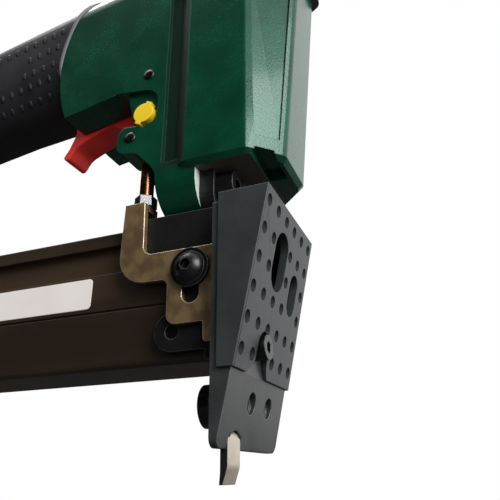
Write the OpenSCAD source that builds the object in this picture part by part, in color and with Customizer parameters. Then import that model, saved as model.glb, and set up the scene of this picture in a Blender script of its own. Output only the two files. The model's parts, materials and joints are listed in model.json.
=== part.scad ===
// Pneumatic brad nailer for fixing glazing beads, with a padded nose that rests on the glass.
// The drive axis is Z. The nose's lower edge is at Z = 0, +X is the front and +Y the tool's left side.

/* [Nose] */
// Width of the nose's front plate
nose_w = 43.4; // [40:0.2:47]
// Thickness of the front plate at its lower edge
nose_edge_t = 1.8; // [1.5:0.1:2.4]
// Lean of the front plate and the pad from the vertical, in degrees
nose_lean = 12.2; // [9:0.1:14]
// Half width of the nose body
nose_body_hw = 14.8; // [14.4:0.1:15.6]
// Thickness of the nose body's front wall
nose_wall = 4.9; // [4.2:0.1:6]
// Length of the nose body's two arms beside the magazine
nose_arm_l = 21.8; // [20:0.1:22.6]
// Thickness of the nose body's flange under the housing
flange_t = 5; // [4:0.1:5.6]

/* [Glass pad] */
// Height of the pad's lower edge above the nose's lower edge
pad_z0 = 18.6; // [17:0.2:19.4]
// Height of the pad
pad_h = 48.9; // [46:0.1:49.5]
// Thickness of the pad's front wall
pad_wall = 2.6; // [2:0.1:3.4]
// Thickness of the pad's side walls
pad_side = 1; // [0.8:0.1:2]
// Thickness of the pad's upper wall
pad_top = 2.5; // [2:0.1:4]
// How far the pad's front stands out from the plate below it
pad_proud = 0.8; // [0.4:0.1:1.5]
// Width of the pad's upper opening
pad_slot_w = 11; // [8:0.1:12]
// Width of the pad's opening on the left
pad_oval_w = 7.4; // [7.2:0.1:8]
// Width of the pad's lower opening
pad_low_w = 9; // [7.4:0.1:10]

/* [Magazine] */
// Height of the magazine's lower face
mag_z0 = 22.7; // [21.6:0.1:23.4]
// Height of the magazine's section
mag_h = 44; // [43:0.1:44.8]
// Width of the magazine
mag_w = 24; // [22:0.1:24.2]
// Length of the magazine
mag_l = 204; // [180:1:220]
// Depth of the upper groove in the magazine's sides
mag_groove = 3; // [1:0.1:4]
// Width of the channel that the brads stand in
brad_slot = 1.8; // [1.5:0.1:2.4]
// Height of the pusher's track
track_h = 13.5; // [11:0.1:15]
// Travel of the brad pusher
pusher_travel = 140; // [80:1:150]

/* [Housing] */
// Height of the nose's flange, between the magazine and the housing
flange_h = 13.8; // [13:0.1:17]
// Height of the barrel from its lower face to the cap
house_h = 80.2; // [76:0.1:84]
// Half width of the barrel
barrel_hw = 19.5; // [19:0.1:22]
// Front of the barrel at its lower end
barrel_front = 19.5; // [19:0.1:22]
// Front of the barrel at its upper end
barrel_front_top = 27.2; // [26:0.1:30]
// Half width of the casting behind the barrel
web_hw = 17.5; // [17:0.1:18.5]
// Half width of the barrel's flat front face
front_hw = 10; // [8:0.1:12]
// Height of the cap over the barrel
cap_h = 19; // [14:0.5:24]
// Overhang of the cap around the barrel
cap_over = 2.5; // [1:0.1:4]

/* [Handle] */
// Width of the rubber grip
grip_w = 33; // [31:0.2:38]
// Height of the rubber grip
grip_h = 44; // [41:0.2:48]
// Thickness of the rubber
grip_t = 2.5; // [1.5:0.1:3]
// Length of the handle behind its middle
handle_l = 124; // [110:1:135]
// Slope of the handle towards its rear end, in degrees
handle_tilt = 7.5; // [5:0.1:9]
// Diameter of the air chamber in the handle
chamber_d = 20; // [14:0.5:22]
// Core diameter of the female thread of the air inlet
inlet_d = 11.4; // [8.6:0.1:12]
// Length of that thread
inlet_l = 12; // [9:0.5:14]

/* [Trigger] */
// Width of the trigger
trigger_w = 11; // [10:0.1:12]
// Diameter of the trigger's pivot pin
trigger_pin_d = 4; // [3:0.1:4.4]
// Diameter of the valve stem
stem_d = 3; // [2.5:0.1:3.6]
// Diameter of the trigger valve's body
valve_d = 13; // [11:0.1:14]
// Diameter of the mode selector's knob
selector_d = 7.4; // [6.8:0.1:7.8]

/* [Safety] */
// Thickness of the safety bracket's sheet steel
bracket_t = 2; // [1.5:0.1:2.4]
// Upward travel of the safety bracket
safety_travel = 7; // [5:0.1:7.2]
// Width of the contact tip
tip_w = 8; // [7:0.1:8.4]
// How far the contact tip reaches below the nose
tip_drop = 8.1; // [7.2:0.1:10]
// Diameter of the safety stud
stud_d = 3.6; // [3:0.1:3.8]

/* [Drive] */
// Inner diameter of the cylinder sleeve
sleeve_bore = 26; // [24:0.1:27]
// Wall of the cylinder sleeve
sleeve_wall = 2; // [1.5:0.1:2.2]
// Stroke of the piston
stroke = 60; // [50:0.5:61]
// Thickness of the driver blade
blade_t = 1.2; // [1:0.05:1.6]
// Width of the driver blade
blade_w = 2.4; // [1.8:0.05:3]

/* [Springs] */
// Wire of the safety spring
spring_wire = 0.5; // [0.4:0.05:0.6]
// Number of turns of the safety spring
spring_turns = 6; // [5:1:7]
// Wire of the valve spring
valve_wire = 0.5; // [0.4:0.05:0.6]
// Number of turns of the valve spring
valve_turns = 5; // [4:1:6]

/* [Clearances] */
// Gap around fixed pieces that drop into holes
seat_gap = 0.1; // [0.05:0.05:0.2]
// Gap beside pieces that slide
slide_gap = 0.2; // [0.15:0.05:0.3]
// Radial gap of turning shafts
turn_gap = 0.05; // [0.02:0.01:0.1]

/* [Hidden] */

green = [0.06, 0.24, 0.17];
black = [0.09, 0.09, 0.1];
steel = [0.66, 0.66, 0.68];
bronze = [0.2, 0.17, 0.15];
gold = [0.6, 0.5, 0.33];
grey = [0.38, 0.38, 0.4];
$fn = 64;
eps = 0.01;
far = 60;

// Nose planes: the plate's back is the front of the drive channel
plate_back = blade_t / 2 + slide_gap / 2;
plate_low_front = plate_back + nose_edge_t;
plate_front = plate_low_front + tan(nose_lean) * pad_z0;
pad_z1 = pad_z0 + pad_h;
plate_z1 = pad_z1 - pad_top;
pad_back = plate_back + nose_edge_t + 0.3;
pad_hw = nose_w / 2 + pad_side;
body_back = plate_back - nose_wall;
mag_z1 = mag_z0 + mag_h;
mag_hw = mag_w / 2;
mag_back = body_back - mag_l;
arm_back = body_back - nose_arm_l;
flange_gap = 1;
flange_z0 = mag_z1 + flange_gap;
house_z0 = flange_z0 + flange_h;
flange_back = -7.5;
flange_hw = web_hw - 3.2;
flange_front = flange_back + flange_t;
neck_hw = 4;
neck_front = plate_back + 2.6;

// Screws of the nose
low_screw_y = [-4, 9];
low_screw_z = 11.7;
low_foot_y = [-8, 12.5];
foot_z0 = 1.2;
foot_pad = 0.8;
arm_boss_r = 5.6;
arm_screw_at = [body_back - 10.2, mag_z0 + 8.3];
arm_z = [arm_screw_at.y - arm_boss_r, mag_z0 + 26];
plate_screw_at = [[-3.8, 49.1], [-4.4, 26.5], [11.4, 45.7]];
plate_head_d = 7;
plate_head_h = 4;
low_bore_d = 5.8;
m4 = 4;
m5 = 5;
m6 = 6;
flange_head_d = 11.8;
flange_cap_d = 9.8;
flange_screw_at = [9.2, house_z0 - flange_cap_d / 2 - 0.3];
rear_rim = 3.4;
rear_dome = 1.5;

// Safety bracket: outer face, screw and slot
bracket_y = -nose_body_hw - slide_gap;
bracket_outer = bracket_y - bracket_t;
bracket_screw_at = [-7.9, 48.2];
slot_w = m5 + 2 * slide_gap;
plate_x = [bracket_screw_at.x - 7.3, bracket_screw_at.x + 4.2];
bracket_z = [bracket_screw_at.y - 15.7, bracket_screw_at.y - 21.3, bracket_screw_at.y - 17.5,
    bracket_screw_at.y + 6.5];
arm_x = [-31.7, -24.7];
arm_top = flange_z0 + 5.1;
tab_in = -9.4;
stud_at = [-27.2, -12.7];
nut_h = 3.6;
nut_d = 7.2;
collar_d = stud_d + 0.9;
stud_top = house_z0 + 11;
tip_y = bracket_y + tip_w / 2;
tip_t = 1.9;
strip_front = plate_back - slide_gap / 2;
strip_back = strip_front - tip_t;
strip_top = bracket_screw_at.y + 3.5;
tongue_back = strip_back + 2.15;
tongue_front = tongue_back + 2.05;
tongue_top = 7.7;
spring_d = 3.6;
spring_hole_d = spring_d + 0.3;
spring_at = [(body_back + plate_back) / 2, tip_y];
spring_z1 = strip_top + 13;

// Barrel, cap and drive
house_z1 = house_z0 + house_h;
gasket_t = 0.8;
cap_z0 = house_z1 + gasket_t;
cap_z1 = cap_z0 + cap_h;
barrel_back = -14;
chamfer_x = 10;
sleeve_r = sleeve_bore / 2 + sleeve_wall;
floor_z = house_z0 + 4.2;
bumper_h = 8;
piston_h = 8;
piston_z = floor_z + bumper_h + stroke;
piston_r = sleeve_bore / 2 - turn_gap;
ring_h = 2.6;
head_gap = 3;
cap_gap = 0.5;
cap_pocket_z = piston_z + piston_h + head_gap;
cap_screw_at = [[-18.5, 11], [-18.5, -11], [20.3, 8.5], [20.3, -8.5]];
cap_back = -24;
groove_x = [-19.6, barrel_back];
lug_back = -20.2;
lug_r = 11;
groove_hw = 15.8;
deflector_d = 27;
deflector_h = 8;

// Handle frame: a point on its axis, and its inner core
handle_at = [-80, 0, house_z0 + 69.2];
core_w = grip_w - 2 * grip_t;
core_h = grip_h - 2 * grip_t;
grip_r = 14;
lip_at = [-6.5, house_z0 + 57.2];
lip_r = 60;
end_cap_t = 14;
end_screw_at = [8.2, 13];
m4_head = 7;
bush_d = 19;

// Trigger group and the selector, whose recess leaves room for its pointers
pivot_at = [-32.2, house_z0 + 16.8];
valve_pin_at = [-26.7, house_z0 + 41.7];
selector_at = [-27.3, house_z0 + 25.1];
selector_out = -18.4;
pointer_w = 2.2;
pointer_out = 0.8;
pointer_sink = 1;
pointer_turn = 62;
selector_reach = norm([selector_d / 2 + pointer_out, pointer_w / 2]);
recess_y = -15.6;
recess_r = selector_reach + 0.3;
valve_x = -53;
slot_hw = trigger_w / 2 + 0.4;
slot_x = [-67.3, -24];
slot_top = house_z0 + 47.2;
valve_z0 = slot_top + 0.2;
valve_h = 22;
trigger_top = pivot_at.y + 23.8;
trigger_boss = 4.6;
trigger_knee = pivot_at + [-11.4, 13.9];
trigger_scoop = pivot_at + [-17.3, 18.9];
trigger_bend = pivot_at + [-33, 12];
trigger_tip = pivot_at + [-36.1, 6.9];
trigger_toe = pivot_at + [-38.8, 8.1];
trigger_spur = pivot_at + [-36.2, 12];
trigger_heel = pivot_at + [-33.8, 17.9];
trigger_front = pivot_at.x - 8.8;
trigger_wall = 2.2;
ear_r = 5.2;
cheek_z = [house_z0 + 32.2, house_z0 + 37.3, house_z0 + 22];
hollow_x = [pivot_at.x - 31.6, pivot_at.x - 23.6];
hollow_z = pivot_at.y + 18.9;
recess_top = [house_z0 + 37.1, house_z0 + 34.6];
recess_low = [house_z0 + 22, selector_at.y - recess_r];
recess_x = [-40, selector_at.x + recess_r];
stem_z0 = trigger_top + 0.15;
stem_l = 13;
valve_spring_z = [valve_z0 + 4.3, valve_z0 + valve_h - 2.1];
valve_spring_r = stem_d / 2 + slide_gap + 0.8;

// Magazine: bands on its sides from the lower lip up, the pusher's track and its thumb tab's slot
mag_bands = [17.4, 18.1, 30, 39.4];
mag_edge = [2, 0.8];
mag_line = 0.7;
track_hw = 4;
track_z0 = mag_z0 + 24;
track_z1 = track_z0 + track_h;
tab_slot_h = 4.5;
tab_slot_z = track_z1 - 1 - tab_slot_h;
end_screw_y = [-6.5, 6.5];
end_screw_z = mag_z0 + 8;
end_plate_t = 5;
m3 = 3;
m3_head = 5.6;

// Brad pusher and its rolled band spring
pusher_front = body_back - 1;
pusher_l = 32;
tab_l = 8;
tab_out = 3.5;
roll_d = track_h - 4.5;
roll_core = roll_d * 5 / 9;
roll_wall = 2;
roll_at = [pusher_front - 16, (track_z0 + track_z1) / 2];

// Leg between the magazine's rear end and the handle's end cap
foot_l = 32;
foot_t = 4;
rear_x = mag_back + foot_l / 2 + 1;
foot_screw_x = [rear_x - 11.5, rear_x + 11.5];
leg_hw = 9;
leg_t = 11;
leg_drop = (grip_h + 3) / 2;
leg_top_z = handle_at.z - (handle_l - 30) * sin(handle_tilt) - leg_drop + 10;
leg_top_x = handle_at.x - (handle_l + end_cap_t / 2) * cos(handle_tilt) + leg_drop * sin(handle_tilt);

function unit(v) = v / norm(v);

// An outline whose corners are [x, y, radius]
function rounded(c, n = 6) = [
    for (i = [0:len(c) - 1])
        let (p = [c[i].x, c[i].y],
            a = c[(i + len(c) - 1) % len(c)],
            b = c[(i + 1) % len(c)],
            u = unit([a.x, a.y] - p),
            v = unit([b.x, b.y] - p),
            half = acos(u * v) / 2,
            r = c[i][2],
            o = p + unit(u + v) * r / sin(half),
            s = p + u * r / tan(half) - o,
            e = p + v * r / tan(half) - o,
            a0 = atan2(s.y, s.x),
            turn = (atan2(e.y, e.x) - a0 + 900) % 360 - 180)
        each r == 0 ? [p] : [for (k = [0:n]) o + r * [cos(a0 + turn * k / n), sin(a0 + turn * k / n)]]
];

// A section in Y and Z, drawn out along X
module along_x(x0, x1) {
    translate([x0, 0, 0])
        rotate([90, 0, 90])
            linear_extrude(x1 - x0) children();
}

// A side outline in X and Z, drawn out along Y
module along_y(y0, y1) {
    translate([0, y1, 0])
        rotate([90, 0, 0])
            linear_extrude(y1 - y0) children();
}

module rod_x(at, d, x0, x1) {
    translate([x0, at.x, at.y])
        rotate([0, 90, 0])
            cylinder(d = d, h = x1 - x0);
}

module rod_y(at, d, y0, y1) {
    translate([at.x, y0, at.y])
        rotate([-90, 0, 0])
            cylinder(d = d, h = y1 - y0);
}

module rod_z(at, d, z0, z1) {
    translate([at.x, at.y, z0]) cylinder(d = d, h = z1 - z0);
}

module round_box(w, h, r) {
    square([w - 2 * r, h], center = true);
    square([w, h - 2 * r], center = true);
    for (x = [-1, 1], y = [-1, 1])
        translate([x * (w / 2 - r), y * (h / 2 - r)]) circle(r);
}

module slot(at, length, w) {
    translate(at) {
        circle(d = w);
        translate([-w / 2, 0]) square([w, length]);
        translate([0, length]) circle(d = w);
    }
}

// Socket cap screw: its seat is at Z = 0 and its shank points down
module cap_screw(d, head_d, head_h, length) {
    difference() {
        cylinder(d = head_d, h = head_h);
        translate([0, 0, head_h / 2]) cylinder(d = d * 0.9, h = head_h, $fn = 6);
    }
    translate([0, 0, -length]) cylinder(d = d, h = length + eps);
}

// Flanged button screw, placed as the socket cap screw
module flange_screw(d, flange_d, length, flange_h = 1.3, dome_h = 2.8) {
    dome_d = flange_d * 0.8;
    dome_r = (pow(dome_d / 2, 2) + dome_h * dome_h) / (2 * dome_h);
    difference() {
        union() {
            cylinder(d = flange_d, h = flange_h);
            translate([0, 0, flange_h])
                rotate_extrude()
                    intersection() {
                        translate([0, dome_h - dome_r]) circle(dome_r);
                        square([dome_d / 2, dome_h]);
                    }
        }
        translate([0, 0, flange_h + dome_h / 2 - 0.6]) cylinder(d = d * 0.7, h = far, $fn = 6);
    }
    translate([0, 0, -length]) cylinder(d = d, h = length + eps);
}

// A point of a compression spring's wire, where t counts turns from the lower end
function coil_point(t, turns, r, z0, z1, wire) =
    let (tight = wire + 0.55,
        open = (z1 - z0 - wire - 2 * tight) / (turns - 2),
        rise = t < 1 ? tight * t : t > turns - 1 ? tight * (t - turns + 2) + open * (turns - 2)
            : tight + open * (t - 1))
    [r * cos(360 * t), r * sin(360 * t), z0 + wire / 2 + rise];

module coil(turns, r, z0, z1, wire) {
    rings = turns * 8;
    sides = 6;
    path = [for (i = [0:rings]) coil_point(i / 8, turns, r, z0, z1, wire)];
    skin = [
        for (i = [0:rings])
            let (a = 45 * i)
            each [for (k = [0:sides - 1])
                path[i] + wire / 2 * [cos(a) * cos(60 * k), sin(a) * cos(60 * k), sin(60 * k)]]
    ];
    wall = [
        for (i = [0:rings - 1])
            for (k = [0:sides - 1])
                let (a = i * sides + k, b = i * sides + (k + 1) % sides)
                each [[a, a + sides, b], [b, a + sides, b + sides]]
    ];
    first = [for (k = [1:sides - 2]) [0, k, k + 1]];
    last = [for (k = [1:sides - 2]) [rings * sides, rings * sides + k + 1, rings * sides + k]];
    polyhedron(points = skin, faces = concat(wall, first, last), convexity = 10);
}

function coil_gap(turns, r, z0, z1, wire) =
    min([for (i = [0:(turns - 1) * 8])
        norm(coil_point(i / 8 + 1, turns, r, z0, z1, wire) - coil_point(i / 8, turns, r, z0, z1, wire))
            - wire]);

// Plan of the barrel, whose front stands at front_x; grow widens it all round
function barrel_plan(front_x, grow = 0) = rounded([
    [barrel_back - grow, -barrel_hw - grow, 4],
    [chamfer_x, -barrel_hw - grow, 3],
    [front_x + grow, -front_hw - grow / 2, 3],
    [front_x + grow, front_hw + grow / 2, 3],
    [chamfer_x, barrel_hw + grow, 3],
    [barrel_back - grow, barrel_hw + grow, 4]], 4);

// Plan of the cap, which also covers the casting behind the barrel
function cap_plan(inset = 0) = rounded([
    [cap_back + inset, -web_hw - 0.5 + inset, 5],
    [chamfer_x, -barrel_hw - cap_over + inset, 3],
    [barrel_front_top + cap_over - inset, -front_hw - cap_over / 2, 3],
    [barrel_front_top + cap_over - inset, front_hw + cap_over / 2, 3],
    [chamfer_x, barrel_hw + cap_over - inset, 3],
    [cap_back + inset, web_hw + 0.5 - inset, 5]], 4);

module barrel() {
    edge = 1.6;
    hull() {
        translate([0, 0, house_z0])
            linear_extrude(eps) polygon(barrel_plan(barrel_front, -edge));
        translate([0, 0, house_z0 + edge])
            linear_extrude(eps) polygon(barrel_plan(barrel_front));
        translate([0, 0, house_z1 - eps]) linear_extrude(eps) polygon(barrel_plan(barrel_front_top));
    }
}

// Cutter of the framed panel on the barrel's right front corner
module corner_panel() {
    depth = 0.9;
    function strip(front_x, margin) =
        let (a = [chamfer_x, -barrel_hw], b = [front_x, -front_hw], u = unit(b - a), n = [u.y, -u.x])
        [a + u * margin + n * 4, b - u * margin + n * 4, b - u * margin - n * depth, a + u * margin - n * depth];
    hull() {
        translate([0, 0, house_z0 + 6.5]) linear_extrude(eps) polygon(strip(barrel_front + 0.6, 2.6));
        translate([0, 0, house_z1 - 4]) linear_extrude(eps) polygon(strip(barrel_front_top - 0.4, 2.6));
    }
}

module in_handle() {
    translate(handle_at)
        rotate([0, -handle_tilt, 0]) children();
}

// Side outline of the casting behind the barrel, from the lug to the handle's root
module web_outline() {
    polygon(rounded([
        [flange_back, flange_z0, 0],
        [flange_back, house_z0, 0],
        [barrel_back + 2, house_z0 + 2, 0],
        [barrel_back + 2, house_z1, 0],
        [cap_back - cap_gap, house_z1, 0],
        [cap_back - cap_gap, handle_at.z + far, 0],
        [handle_at.x, handle_at.z + far, 0],
        [handle_at.x, cheek_z[0], 0],
        [slot_x[0], cheek_z[0], 4],
        [pivot_at.x - 3.8, cheek_z[1], 2],
        [pivot_at.x, cheek_z[2], 0],
        [pivot_at.x - ear_r, cheek_z[2], ear_r - 0.4],
        [pivot_at.x - ear_r, pivot_at.y - 5.4, 4],
        [pivot_at.x + 2.7, pivot_at.y - 6.6, 5],
        [lug_back - 1.8, house_z0 + 2.2, 10],
        [lug_back, flange_z0, 0]]));
}

module web() {
    intersection() {
        along_y(-web_hw, web_hw) web_outline();
        in_handle()
            along_x(-60, 120)
                translate([0, (grip_h + 1) / 2 - 100]) round_box(2 * web_hw, 200, grip_r);
    }
}

// The handle's curved end at the grip: what lies behind it is cut from the casting
module behind_lip(gap) {
    along_y(-far, far)
        difference() {
            translate(lip_at - [2 * far, far]) square([2 * far - lip_r / 2, 2 * far]);
            translate(lip_at) circle(lip_r + gap, $fn = 96);
        }
}

module main_housing() {
    color(green)
        difference() {
            union() {
                barrel();
                difference() {
                    web();
                    behind_lip(0);
                }
                in_handle()
                    along_x(-handle_l, 20) round_box(core_w, core_h, grip_r - grip_t);
            }
            // Bores of the cylinder, the driver and the air chamber
            rod_z([0, 0], 2 * (sleeve_r + seat_gap), floor_z, house_z1 + 1);
            rod_z([0, 0], 6, house_z0 - 1, floor_z + 1);
            in_handle() rod_x([0, 0], chamber_d, -handle_l - 1, 45);
            // Framed panels, side grooves and the pocket under the front
            for (side = [0, 1]) mirror([0, side, 0]) {
                corner_panel();
                translate([groove_x[0], groove_hw, house_z0 + 4])
                    cube([groove_x[1] - groove_x[0], far, house_h]);
            }
            translate([chamfer_x + 0.8, -barrel_hw + 2, house_z0 - 1])
                cube([barrel_front - chamfer_x - 3.6, barrel_hw - 2, 3.4]);
            // Round lower edges of the lug
            for (side = [-1, 1])
                along_x(-40, 0)
                    translate([side * web_hw, flange_z0])
                        difference() {
                            square(2 * lug_r, center = true);
                            translate([-side * lug_r, lug_r]) circle(lug_r);
                        }
            // Trigger slot, its pin, the second pin and the selector's recess
            along_y(-slot_hw, slot_hw)
                translate([slot_x[0], house_z0]) square([slot_x[1] - slot_x[0], slot_top - house_z0]);
            rod_y(pivot_at, trigger_pin_d + 2 * seat_gap, -far, far);
            rod_y(valve_pin_at, trigger_pin_d + 2 * seat_gap, -far, far);
            rod_y(selector_at, 2 * recess_r, -far, recess_y);
            along_y(-far, recess_y)
                polygon(rounded([
                    [recess_x[0], recess_low[0], 0],
                    [recess_x[0], recess_top[0], 0],
                    [recess_x[1], recess_top[1], 6],
                    [recess_x[1], recess_low[1], 5]]));
            rod_y(selector_at, m5 + 2 * turn_gap, recess_y - 1, 0);
            // Trigger valve and safety stud
            rod_z([valve_x, 0], valve_d + 2 * seat_gap, slot_top - 1, handle_at.z);
            rod_z(stud_at, collar_d + 2 * slide_gap, house_z0, stud_top + safety_travel + 0.5);
            // Screw holes
            for (p = cap_screw_at) rod_z(p, m5 + 2 * seat_gap, house_z1 - 14, house_z1 + 1);
            for (side = [-1, 1])
                rod_x([side * flange_screw_at.x, flange_screw_at.y], m6 + 2 * seat_gap, flange_back - 9, 0);
            in_handle() end_screw_holes();
        }
}

module end_screw_holes() {
    for (y = [-1, 1], z = [-1, 1])
        rod_x([y * end_screw_at.x, z * end_screw_at.y], m4 + 2 * seat_gap, -handle_l - 0.5, -handle_l + 14);
}

module grip_section(x, w, h, drop) {
    along_x(x, x + eps)
        translate([0, -drop / 2]) round_box(w, h + drop, grip_r, $fn = 32);
}

module handle_grip() {
    flare = 2;
    color(black)
        difference() {
            in_handle()
                difference() {
                    union() {
                        hull() {
                            grip_section(-handle_l, grip_w, grip_h, 0);
                            grip_section(-24, grip_w, grip_h, 0);
                        }
                        hull() {
                            grip_section(-24 - eps, grip_w, grip_h, 0);
                            grip_section(34, 2 * web_hw, grip_h + 1, flare);
                        }
                    }
                    along_x(-handle_l - 1, 40)
                        round_box(core_w + 2 * seat_gap, core_h + 2 * seat_gap, grip_r - grip_t);
                }
            along_y(-far, far) translate(lip_at) circle(lip_r + seat_gap, $fn = 96);
        }
}

module handle_end_cap() {
    color(black)
        in_handle()
            difference() {
                union() {
                    along_x(-handle_l - end_cap_t, -handle_l) round_box(grip_w + 3, grip_h + 3, grip_r + 1);
                    rod_x([0, 0], bush_d + 4, -handle_l - end_cap_t - 4, -handle_l);
                }
                rod_x([0, 0], bush_d + 2 * seat_gap, -handle_l - end_cap_t - 5, -handle_l - 5);
                rod_x([0, 0], 12, -handle_l - 6, -handle_l + 1);
                for (y = [-1, 1], z = [-1, 1]) {
                    at = [y * end_screw_at.x, z * end_screw_at.y];
                    rod_x(at, m4 + 2 * seat_gap, -handle_l - end_cap_t - 1, -handle_l + 1);
                    rod_x(at, m4_head + 4 * seat_gap, -handle_l - end_cap_t - 1, -handle_l - 6);
                }
            }
}

module end_cap_screws() {
    color(steel)
        in_handle()
            for (y = [-1, 1], z = [-1, 1])
                translate([-handle_l - 6, y * end_screw_at.x, z * end_screw_at.y])
                    rotate([0, -90, 0]) cap_screw(m4, m4_head, m4, 18);
}

// Threaded steel bush of the air inlet
module air_inlet_bush() {
    color(steel)
        in_handle()
            difference() {
                union() {
                    rod_x([0, 0], bush_d, -handle_l - end_cap_t - 4, -handle_l - 5);
                    rod_x([0, 0], bush_d + 5, -handle_l - end_cap_t - 6.5, -handle_l - end_cap_t - 4);
                }
                rod_x([0, 0], inlet_d, -handle_l - end_cap_t - 6.5 - eps, -handle_l - end_cap_t - 6.5 + inlet_l);
                rod_x([0, 0], inlet_d - 2.4, -handle_l - end_cap_t - 6, -handle_l);
            }
}

module cylinder_cap() {
    top_inset = 2.5;
    color(grey)
        difference() {
            union() {
                translate([0, 0, cap_z0])
                    linear_extrude(cap_h - top_inset) polygon(cap_plan());
                hull() {
                    translate([0, 0, cap_z1 - top_inset]) linear_extrude(eps) polygon(cap_plan());
                    translate([0, 0, cap_z1 - eps]) linear_extrude(eps) polygon(cap_plan(top_inset));
                }
            }
            rod_z([0, 0], 2 * (sleeve_r + seat_gap), cap_z0 - 1, cap_pocket_z);
            for (p = cap_screw_at) {
                rod_z(p, m5 + 2 * seat_gap, cap_z0 - 1, cap_z1 + 1);
                rod_z(p, 9, cap_z1 - 7, cap_z1 + 1);
            }
            rod_z([0, 0], m5 + 2 * seat_gap, cap_z1 - 8, cap_z1 + 1);
        }
}

module cap_gasket() {
    color(black)
        translate([0, 0, house_z1])
            linear_extrude(gasket_t)
                difference() {
                    union() {
                        polygon(barrel_plan(barrel_front_top, -0.4));
                        translate([cap_back + 1, -groove_hw + 0.3])
                            square([barrel_back - cap_back, 2 * groove_hw - 0.6]);
                    }
                    circle(sleeve_r + seat_gap);
                    for (p = cap_screw_at) translate(p) circle(d = m5 + 2 * seat_gap);
                }
}

module cap_screws() {
    color(steel)
        for (p = cap_screw_at)
            translate([p.x, p.y, cap_z1 - 7]) cap_screw(m5, 8.5, m5, cap_h - 7 + 12);
}

// Swivelling exhaust cover on the cap, open to one side
module exhaust_deflector() {
    color(black)
        difference() {
            union() {
                rod_z([0, 0], deflector_d, cap_z1 + slide_gap, cap_z1 + deflector_h - 2);
                translate([0, 0, cap_z1 + deflector_h - 2])
                    cylinder(d1 = deflector_d, d2 = deflector_d - 5, h = 2);
            }
            difference() {
                rod_z([0, 0], deflector_d - 5, cap_z1, cap_z1 + deflector_h - 3);
                rod_z([0, 0], 11, cap_z1, cap_z1 + deflector_h);
            }
            translate([-deflector_d, -6.5, cap_z1])
                cube([deflector_d - 6, 13, deflector_h - 3]);
            rod_z([0, 0], m5 + 2 * turn_gap, cap_z1 - 1, cap_z1 + far);
        }
}

module deflector_screw() {
    color(steel)
        translate([0, 0, cap_z1 + deflector_h + slide_gap]) flange_screw(m5, flange_head_d, deflector_h + 7);
}

module cylinder_sleeve() {
    color(steel)
        difference() {
            rod_z([0, 0], 2 * sleeve_r, floor_z, cap_pocket_z - 0.4);
            rod_z([0, 0], sleeve_bore, floor_z - 1, cap_pocket_z + 1);
        }
}

module piston_bumper() {
    color(black)
        difference() {
            rod_z([0, 0], sleeve_bore - 2 * seat_gap, floor_z, floor_z + bumper_h - 0.1);
            rod_z([0, 0], 6, floor_z - 1, floor_z + far);
        }
}

module piston() {
    color(steel)
        difference() {
            rod_z([0, 0], 2 * piston_r, piston_z, piston_z + piston_h);
            translate([0, 0, piston_z + piston_h / 2 - ring_h / 2])
                difference() {
                    cylinder(r = piston_r + 1, h = ring_h);
                    cylinder(r = piston_r - 2.4, h = ring_h);
                }
            translate([-blade_t / 2, -blade_w / 2, piston_z - 1])
                cube([blade_t, blade_w, piston_h / 2 - ring_h / 2]);
        }
}

module piston_ring() {
    color(black)
        translate([0, 0, piston_z + piston_h / 2 - ring_h / 2 + seat_gap])
            difference() {
                cylinder(r = piston_r, h = ring_h - 2 * seat_gap);
                translate([0, 0, -1]) cylinder(r = piston_r - 2.3, h = ring_h + 2);
            }
}

// Driver blade: its lower end meets the nose's lower edge at the end of the stroke
module driver_blade() {
    color(steel)
        translate([-blade_t / 2, -blade_w / 2, stroke])
            cube([blade_t, blade_w, piston_z + piston_h / 2 - ring_h / 2 - 1 - stroke]);
}

module trigger() {
    color([0.75, 0.16, 0.14])
        difference() {
            along_y(-trigger_w / 2, trigger_w / 2)
                difference() {
                    polygon(rounded([
                        [pivot_at.x + trigger_boss, pivot_at.y + trigger_boss, trigger_boss - 0.1],
                        [pivot_at.x + trigger_boss, pivot_at.y - trigger_boss, trigger_boss - 0.1],
                        [pivot_at.x - trigger_boss, pivot_at.y - trigger_boss, 4],
                        [trigger_knee.x, trigger_knee.y, 8],
                        [trigger_scoop.x, trigger_scoop.y, 6],
                        [trigger_bend.x, trigger_bend.y, 5],
                        [trigger_tip.x, trigger_tip.y, 1.4],
                        [trigger_toe.x, trigger_toe.y, 1.2],
                        [trigger_spur.x, trigger_spur.y, 3],
                        [trigger_heel.x, trigger_heel.y, 6],
                        [trigger_heel.x, trigger_top, 1],
                        [trigger_front, trigger_top, 2]]));
                    translate(pivot_at) circle(d = trigger_pin_d + 2 * turn_gap);
                }
            // Pocket in the top of the moulded lever
            along_y(-trigger_w / 2 + trigger_wall, trigger_w / 2 - trigger_wall)
                translate([hollow_x[0], hollow_z]) square([hollow_x[1] - hollow_x[0], far]);
        }
}

module trigger_pin() {
    color(steel)
        rod_y(pivot_at, trigger_pin_d, -web_hw - 0.3, web_hw + 0.3);
}

module valve_pin() {
    color(steel)
        rod_y(valve_pin_at, trigger_pin_d, -web_hw - 0.3, web_hw + 0.3);
}

module trigger_valve_body() {
    color([0.75, 0.6, 0.3])
        difference() {
            rod_z([valve_x, 0], valve_d, valve_z0, valve_z0 + valve_h);
            rod_z([valve_x, 0], stem_d + 2 * slide_gap, valve_z0 - 1, valve_z0 + far);
            rod_z([valve_x, 0], valve_d - 4, valve_z0 + 2.5, valve_z0 + valve_h - 2);
        }
}

module valve_stem() {
    color(steel) {
        rod_z([valve_x, 0], stem_d, stem_z0, stem_z0 + stem_l);
        rod_z([valve_x, 0], valve_d - 5, valve_z0 + 2.7, valve_z0 + 4.2);
    }
}

module valve_spring() {
    color(steel)
        translate([valve_x, 0, 0])
            coil(valve_turns, valve_spring_r, valve_spring_z[0], valve_spring_z[1], valve_wire);
}

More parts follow.
